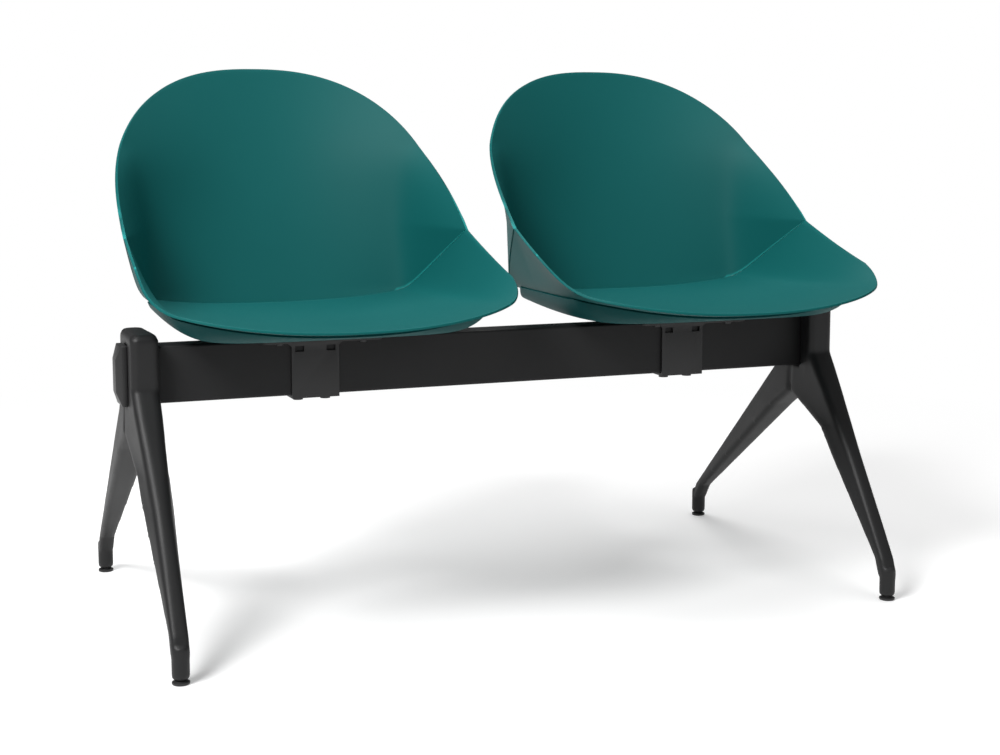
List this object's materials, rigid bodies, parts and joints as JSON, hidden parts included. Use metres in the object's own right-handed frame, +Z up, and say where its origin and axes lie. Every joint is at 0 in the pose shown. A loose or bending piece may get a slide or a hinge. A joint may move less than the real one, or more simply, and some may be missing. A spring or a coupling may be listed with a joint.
{
  "type": "beam seating",
  "caption": "Beam seating: moulded shell seats with winged sides on one rectangular beam, carried by cast splayed legs with screw-adjusted glides.",
  "frame": {"origin": "on the floor, midway between the two legs and midway between the front and rear feet", "axes": "+X along the beam to the right as seen from the front, +Y to the back of the seats, +Z up"},
  "size_m": [1.1198, 0.6156, 0.7857],
  "materials": {
    "beam_paint": "fine textured black powder coat",
    "cast_paint": "satin dark grey-black powder coat on a casting",
    "bracket_paint": "black powder coat on folded steel",
    "cap_plastic": "black moulded plastic",
    "glide_plastic": "black nylon",
    "screw_steel": "zinc-plated steel",
    "shell_plastic": "teal moulded plastic, matte with a fine grain",
    "tray_plastic": "teal moulded plastic, matte"
  },
  "bodies": {
    "frame": {"beam_tube": "beam_paint", "leg_left": "cast_paint", "end_cap_left": "cap_plastic", "leg_screws_left": "screw_steel", "leg_nut_plate_left": "screw_steel", "saddle_left": "bracket_paint", "saddle_screws_left": "screw_steel", "saddle_nut_plate_left": "screw_steel", "support_plate_left": "bracket_paint", "back_shell_left": "shell_plastic", "seat_shell_left": "shell_plastic", "seat_tray_left": "tray_plastic", "seat_spacers_left": "cap_plastic", "seat_screws_left": "screw_steel", "back_screws_left": "screw_steel", "leg_right": "cast_paint", "end_cap_right": "cap_plastic", "leg_screws_right": "screw_steel", "leg_nut_plate_right": "screw_steel", "saddle_right": "bracket_paint", "saddle_screws_right": "screw_steel", "saddle_nut_plate_right": "screw_steel", "support_plate_right": "bracket_paint", "back_shell_right": "shell_plastic", "seat_shell_right": "shell_plastic", "seat_tray_right": "tray_plastic", "seat_spacers_right": "cap_plastic", "seat_screws_right": "screw_steel", "back_screws_right": "screw_steel"},
    "pad_front_left": {"glide_pad_front_left": "glide_plastic"},
    "stem_front_left": {"glide_stem_front_left": "screw_steel"},
    "pad_front_right": {"glide_pad_front_right": "glide_plastic"},
    "stem_front_right": {"glide_stem_front_right": "screw_steel"},
    "pad_rear_left": {"glide_pad_rear_left": "glide_plastic"},
    "stem_rear_left": {"glide_stem_rear_left": "screw_steel"},
    "pad_rear_right": {"glide_pad_rear_right": "glide_plastic"},
    "stem_rear_right": {"glide_stem_rear_right": "screw_steel"}
  },
  "joints": [
    {"name": "level_front_left", "type": "slide", "parent": "frame", "child": "pad_front_left", "axis": [0, 0, -1], "range_m": [0, 0.01]},
    {"name": "screw_front_left", "type": "hinge", "parent": "pad_front_left", "child": "stem_front_left", "pos_m": [-0.5263, -0.2963, 0.02], "axis": [0, 0, -1], "range_deg": [0, 2880]},
    {"name": "level_front_right", "type": "slide", "parent": "frame", "child": "pad_front_right", "axis": [0, 0, -1], "range_m": [0, 0.01]},
    {"name": "screw_front_right", "type": "hinge", "parent": "pad_front_right", "child": "stem_front_right", "pos_m": [0.5263, -0.2963, 0.02], "axis": [0, 0, -1], "range_deg": [0, 2880]},
    {"name": "level_rear_left", "type": "slide", "parent": "frame", "child": "pad_rear_left", "axis": [0, 0, -1], "range_m": [0, 0.01]},
    {"name": "screw_rear_left", "type": "hinge", "parent": "pad_rear_left", "child": "stem_rear_left", "pos_m": [-0.5263, 0.2963, 0.02], "axis": [0, 0, -1], "range_deg": [0, 2880]},
    {"name": "level_rear_right", "type": "slide", "parent": "frame", "child": "pad_rear_right", "axis": [0, 0, -1], "range_m": [0, 0.01]},
    {"name": "screw_rear_right", "type": "hinge", "parent": "pad_rear_right", "child": "stem_rear_right", "pos_m": [0.5263, 0.2963, 0.02], "axis": [0, 0, -1], "range_deg": [0, 2880]}
  ],
  "couplings": [
    {"joint": "screw_front_left", "follows": "level_front_left", "rad_per_m": 5026.5},
    {"joint": "screw_front_right", "follows": "level_front_right", "rad_per_m": 5026.5},
    {"joint": "screw_rear_left", "follows": "level_rear_left", "rad_per_m": 5026.5},
    {"joint": "screw_rear_right", "follows": "level_rear_right", "rad_per_m": 5026.5}
  ]
}
